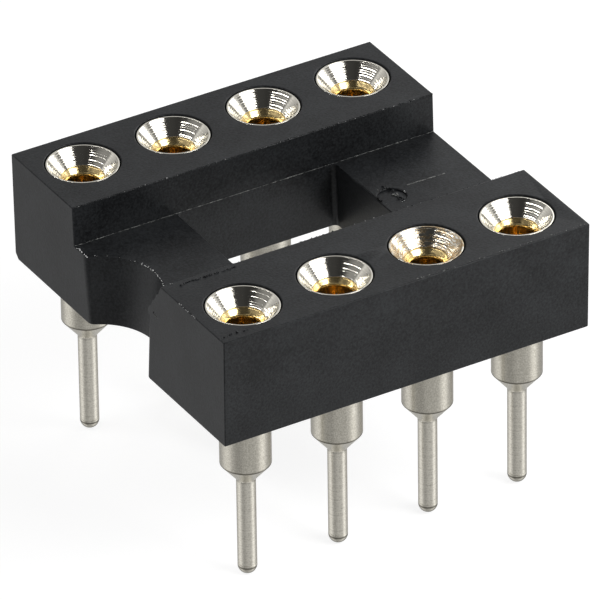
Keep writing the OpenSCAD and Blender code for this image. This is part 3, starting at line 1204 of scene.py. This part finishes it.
@dataclass
class Studio:
    """Camera, lamps, surroundings and floor."""

    azimuth: float = -0.53071   # the photo's camera, in radians
    elevation: float = 0.55777
    roll: float = -0.01436
    aim: Point = (-0.049, -0.072, 1.767)
    distance: float = 241.8
    lens: float = 599.0
    sensor: float = 36.0
    camera_reach: tuple[float, float] = (10.0, 5000.0)      # nearest and farthest that it sees
    floor_z: float = -2.70      # level of the tails' tips
    floor_size: float = 1600.0
    floor_white: float = 0.86   # share of the floor's white that the camera sees without light
    floor_seen: float = 0.34    # its paint, for the camera
    floor_paint: float = 0.8    # and for the light that it throws back
    diffuse_level: float = 0.10     # brightness of the tent for dull surfaces
    wall_level: float = 1.5     # brightness of the tent where walls gives 1
    walls: tuple[tuple[float, float], ...] = (
        (-180.0, 0.52), (-150.0, 0.32), (-134.0, 0.34), (-119.0, 0.44), (-104.0, 0.70), (-80.0, 0.76),
        (-60.0, 0.42), (-44.0, 0.28), (-24.0, 0.28), (0.0, 0.40), (48.0, 0.40), (60.0, 0.50), (73.0, 0.96),
        (88.0, 0.96), (104.0, 0.44), (140.0, 0.30), (180.0, 0.52))
    below: tuple[tuple[float, float], ...] = (     # share of that level at angles below the horizon
        (-90.0, 1.15), (-72.0, 1.25), (-50.0, 1.0), (-20.0, 1.0))
    boxes: tuple[Softbox, ...] = (
        Softbox("left_softbox", -83.0, 52.0, 125.0, 9.0, 13.0, 150.0, 33.0),
        Softbox("right_softbox", 66.0, 41.0, 62.0, 46.0, 5.2, 90.0),
        Softbox("back_card", 124.0, 16.0, 74.0, 110.0, 2.6),
        Softbox("near_card", 150.0, 30.0, 26.0, 20.0, 1.25, 45.0))
    patches: tuple[Patch, ...] = (      # the tent's opening above the camera, three gaps, and a pale card
        Patch(3.0, 60.0, 36.0, 0.08), Patch(180.0, 76.0, 26.0, 0.15), Patch(-78.0, 36.0, 28.0, 0.25),
        Patch(95.0, 36.0, 9.0, 0.2), Patch(116.0, 25.0, 7.0, 2.2))
    patch_blur: float = 4.0     # degrees to either side of a patch's edge

    def axes(self) -> tuple[Vector, Vector, Vector]:
        """Works out how the camera stands.

        Returns:
            Its right, up and back directions.
        """
        a, e = self.azimuth, self.elevation
        back = Vector((math.sin(a) * math.cos(e), -math.cos(a) * math.cos(e), math.sin(e)))
        right = Vector((math.cos(a), math.sin(a), 0.0))
        up = back.cross(right)
        c, s = math.cos(self.roll), math.sin(self.roll)
        return right * c + up * s, up * c - right * s, back

    def towards(self, side: float, height: float) -> Vector:
        """Turns two angles to a direction.

        Args:
            side: Degrees to the camera's right.
            height: Degrees above the horizon.

        Returns:
            The direction from the object.
        """
        turn = self.azimuth + math.radians(side)
        e = math.radians(height)
        return Vector((math.sin(turn) * math.cos(e), -math.cos(turn) * math.cos(e), math.sin(e)))

    def camera(self) -> None:
        """Sets up the camera at the photo's angle."""
        data = bpy.data.cameras.new("camera")
        data.lens, data.sensor_width = self.lens, self.sensor
        data.clip_start, data.clip_end = (reach * MM for reach in self.camera_reach)
        made = put("camera", data)
        right, up, back = self.axes()
        turned = Matrix((right, up, back)).transposed().to_4x4()
        made.matrix_world = Matrix.Translation(scaled(self.aim) + back * self.distance * MM) @ turned
        bpy.context.scene.camera = made

    def lamps(self) -> None:
        """Sets up the softboxes, which the camera doesn't see."""
        for box in self.boxes:
            data = bpy.data.lights.new(box.name, "AREA")
            data.shape = "RECTANGLE"
            data.size, data.size_y = box.width_mm * MM, box.depth_mm * MM
            data.energy = box.level * math.pi * data.size * data.size_y
            made = put(box.name, data)
            away = self.towards(box.side, box.height)
            made.location = scaled(self.aim) + away * box.reach_mm * MM
            level_turn = away.to_track_quat("Z", "Y").to_matrix()
            made.rotation_euler = (level_turn @ Matrix.Rotation(math.radians(box.lean), 3, "Z")).to_euler()
            made.visible_camera = False

    def surroundings(self) -> None:
        """Sets up the world: white behind the object, and a tent of pale walls for gloss.

        The tent is darker above the camera, where it has its opening, and behind the object.
        """
        world = bpy.data.worlds.new("tent")
        world.use_nodes = True
        tree = world.node_tree
        tree.nodes.clear()
        seen = add(tree, "ShaderNodeTexCoord").outputs["Generated"]
        parts = add(tree, "ShaderNodeSeparateXYZ", sockets={0: seen}).outputs
        flat = add(tree, "ShaderNodeCombineXYZ", sockets={0: parts[0], 1: parts[1]})
        front = add(tree, "ShaderNodeVectorMath", {"operation": "DOT_PRODUCT"}, {
            0: flat, 1: self.towards(0, 0)}).outputs["Value"]
        side = add(tree, "ShaderNodeVectorMath", {"operation": "DOT_PRODUCT"}, {
            0: flat, 1: self.towards(90, 0)}).outputs["Value"]
        turn = add(tree, "ShaderNodeMath", {"operation": "ARCTAN2"}, {0: side, 1: front})
        share = add(tree, "ShaderNodeMapRange", sockets={
            0: turn, "From Min": -math.pi, "From Max": math.pi})
        ramp = add(tree, "ShaderNodeValToRGB", sockets={0: share})
        light: bpy.types.Node | float = self.wall_level
        for patch in self.patches:
            near = add(tree, "ShaderNodeVectorMath", {"operation": "DOT_PRODUCT"}, {
                0: seen, 1: self.towards(patch.side, patch.height)}).outputs["Value"]
            edges = [math.cos(math.radians(patch.radius + blur))
                     for blur in (self.patch_blur, -self.patch_blur)]
            kept = add(tree, "ShaderNodeMapRange", {"interpolation_type": "SMOOTHSTEP"}, {
                0: near, "From Min": edges[0], "From Max": edges[1], "To Min": 1.0, "To Max": patch.share})
            light = add(tree, "ShaderNodeMath", {"operation": "MULTIPLY"}, {0: light, 1: kept})
        rise = add(tree, "ShaderNodeMath", {"operation": "ARCSINE"}, {0: parts[2]})
        apron = add(tree, "ShaderNodeMapRange", sockets={
            0: rise, "From Min": math.radians(self.below[0][0]), "From Max": math.radians(self.below[-1][0])})
        dip = add(tree, "ShaderNodeValToRGB", sockets={0: apron})
        for shades, stops in ((ramp, self.walls), (dip, self.below)):
            low, high = stops[0][0], stops[-1][0]
            for _ in stops[2:]:
                shades.color_ramp.elements.new(0.5)
            for stop, (angle, grey) in zip(shades.color_ramp.elements, stops):
                stop.position, stop.color = (angle - low) / (high - low), (grey, grey, grey, 1.0)
        level = add(tree, "ShaderNodeMath", {"operation": "MULTIPLY"}, {0: light, 1: dip})
        gloss = add(tree, "ShaderNodeBackground", sockets={0: ramp, 1: level})
        path = add(tree, "ShaderNodeLightPath").outputs
        soft, white = (add(tree, "ShaderNodeBackground", sockets={0: (1.0, 1.0, 1.0, 1.0), 1: strength})
                       for strength in (self.diffuse_level, 1.0))
        clear = add(tree, "ShaderNodeMath", {"operation": "MAXIMUM"}, {
            0: path["Is Glossy Ray"], 1: path["Is Transmission Ray"]})
        bounced = add(tree, "ShaderNodeMixShader", sockets={0: clear, 1: soft, 2: gloss})
        rays = add(tree, "ShaderNodeMixShader", sockets={0: path["Is Camera Ray"], 1: bounced, 2: white})
        add(tree, "ShaderNodeOutputWorld", sockets={0: rays})
        bpy.context.scene.world = world

    def floor(self) -> None:
        """Lays the white floor at the tails' tips; it keeps a faint shadow of the object."""
        half = self.floor_size / 2
        mesh = bpy.data.meshes.new("floor")
        corners = [(-half, -half), (half, -half), (half, half), (-half, half)]
        mesh.from_pydata([scaled((x, y, self.floor_z)) for x, y in corners], [], [(0, 1, 2, 3)])
        finish = bpy.data.materials.new("white_paper")
        finish.use_nodes = True
        tree = finish.node_tree
        tree.nodes.clear()
        path = add(tree, "ShaderNodeLightPath").outputs
        paper, thin = (add(tree, "ShaderNodeBsdfDiffuse", sockets={0: (grey, grey, grey, 1.0)})
                       for grey in (self.floor_paint, self.floor_seen))
        glow = add(tree, "ShaderNodeEmission", sockets={1: self.floor_white})
        both = add(tree, "ShaderNodeAddShader", sockets={0: thin, 1: glow})
        seen = add(tree, "ShaderNodeMixShader", sockets={0: path["Is Camera Ray"], 1: paper, 2: both})
        add(tree, "ShaderNodeOutputMaterial", sockets={0: seen})
        mesh.materials.append(finish)
        made = put("floor", mesh)
        made.visible_glossy = False     # so that metal sees the tent below the horizon too

    def build(self) -> None:
        """Sets up everything round the object."""
        self.camera()
        self.lamps()
        self.surroundings()
        self.floor()
        bpy.context.scene.view_settings.view_transform = "Standard"


def main() -> None:
    """Builds the dressed socket and its studio, and reports each piece."""
    logging.basicConfig(level=logging.INFO, format="%(name)s %(message)s")
    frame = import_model()

    polyester = MouldedPolyester("black_glass_filled_polyester").material()
    torn = TornPolyester("torn_polyester", shade="#dededd", pale="#e6e6e5").material()
    # pale grey of rubbed plastic; on the far wall's flash line it is partly a painted highlight
    rubbed_and_highlit = TornPolyester("rubbed_and_highlit_polyester", shade="#4a4c4d", pale="#979894").material()
    tin = TinPlate("tin_plate").material()
    scuffed = TinPlate("tin_plate_scuffed", scuff=0.7).material()
    gold = GoldPlate("gold_plate").material()

    insulator = Insulator()
    insulator.build(frame["nodes"]["housing"], polyester)
    insulator.dress(torn, rubbed_and_highlit, polyester)

    pattern, lathe = ContactPattern(), Lathe()
    sleeve, clip, opened = TurnedSleeve(), SpringClip(), SpringClip(throat_r=0.415)
    for n in range(1, 2 * pattern.per_row + 1):
        centre = pattern.place(n)
        sleeve.build(n, centre, lathe, scuffed if n in pattern.scuffed else tin)
        (opened if n in pattern.opened else clip).build(n, centre, lathe, gold)

    Studio().build()


if __name__ == "__main__":
    main()
